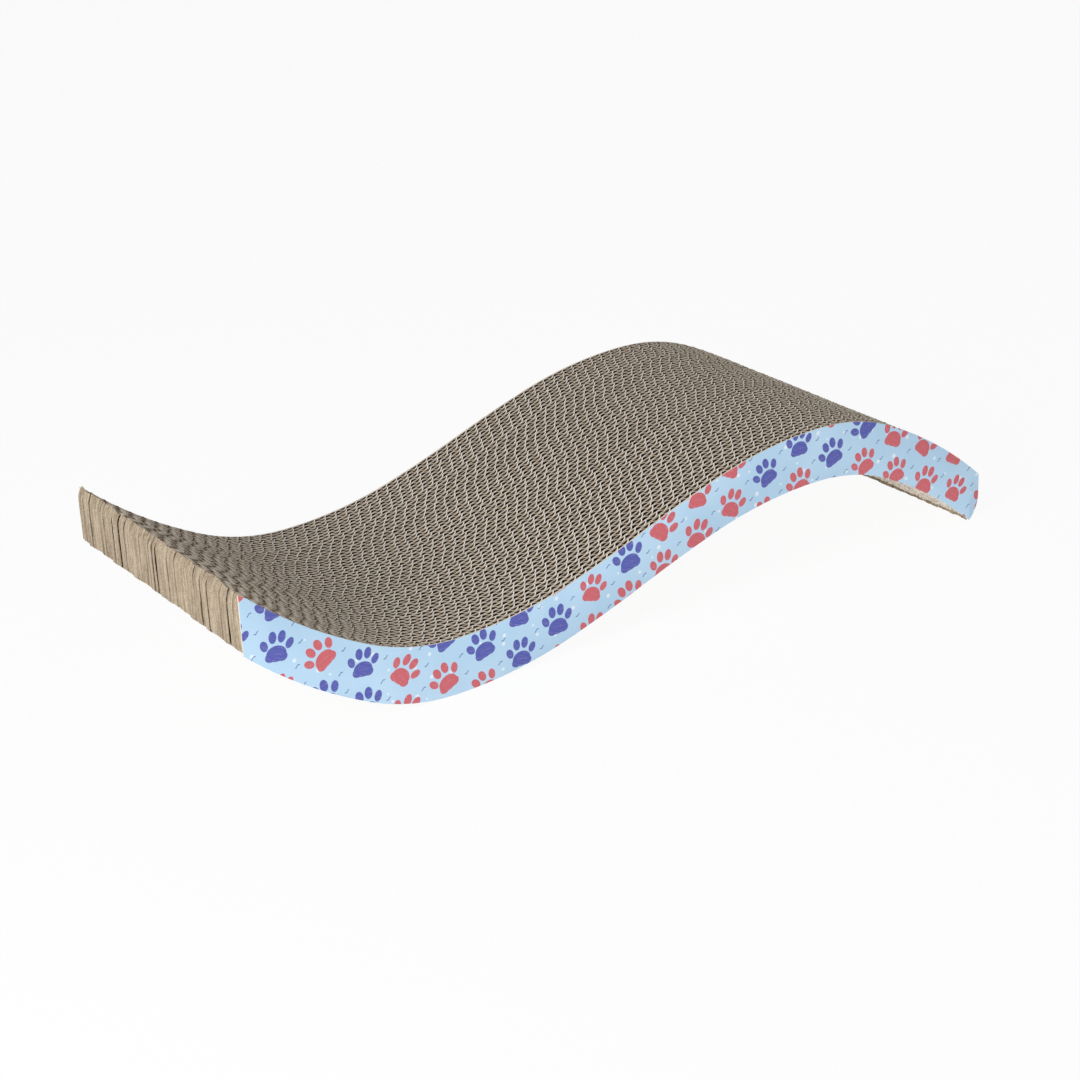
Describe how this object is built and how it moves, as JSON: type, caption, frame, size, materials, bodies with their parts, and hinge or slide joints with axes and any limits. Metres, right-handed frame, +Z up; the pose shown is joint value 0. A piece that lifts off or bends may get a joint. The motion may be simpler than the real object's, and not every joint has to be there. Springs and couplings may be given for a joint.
{
  "type": "cardboard cat scratcher",
  "caption": "Wave-shaped cat scratching pad of glued corrugated board strips with open flute ends on top and a printed card on each long side.",
  "frame": {"origin": "centre of the footprint, on the floor that the trough and the toe stand on", "axes": "+X along the wave from the raised end to the low end, +Y across the strips to the rear side, +Z up"},
  "size_m": [0.545, 0.21, 0.1045],
  "materials": {
    "corrugated_board": "raw brown kraft paper with open flute ends on the cut edges",
    "printed_card": "matt light blue print with small coral and indigo motifs, pale raw cut edge"
  },
  "bodies": {
    "root": {"strip_01": "corrugated_board", "strip_02": "corrugated_board", "strip_03": "corrugated_board", "strip_04": "corrugated_board", "strip_05": "corrugated_board", "strip_06": "corrugated_board", "strip_07": "corrugated_board", "strip_08": "corrugated_board", "strip_09": "corrugated_board", "strip_10": "corrugated_board", "strip_11": "corrugated_board", "strip_12": "corrugated_board", "strip_13": "corrugated_board", "strip_14": "corrugated_board", "strip_15": "corrugated_board", "strip_16": "corrugated_board", "strip_17": "corrugated_board", "strip_18": "corrugated_board", "strip_19": "corrugated_board", "strip_20": "corrugated_board", "strip_21": "corrugated_board", "strip_22": "corrugated_board", "strip_23": "corrugated_board", "strip_24": "corrugated_board", "strip_25": "corrugated_board", "strip_26": "corrugated_board", "strip_27": "corrugated_board", "strip_28": "corrugated_board", "strip_29": "corrugated_board", "strip_30": "corrugated_board", "strip_31": "corrugated_board", "strip_32": "corrugated_board", "strip_33": "corrugated_board", "strip_34": "corrugated_board", "strip_35": "corrugated_board", "strip_36": "corrugated_board", "strip_37": "corrugated_board", "strip_38": "corrugated_board", "strip_39": "corrugated_board", "strip_40": "corrugated_board", "strip_41": "corrugated_board", "strip_42": "corrugated_board", "strip_43": "corrugated_board", "strip_44": "corrugated_board", "strip_45": "corrugated_board", "strip_46": "corrugated_board", "strip_47": "corrugated_board", "strip_48": "corrugated_board", "strip_49": "corrugated_board", "strip_50": "corrugated_board", "strip_51": "corrugated_board", "strip_52": "corrugated_board", "printed_card_front": "printed_card", "printed_card_back": "printed_card"}
  },
  "joints": []
}
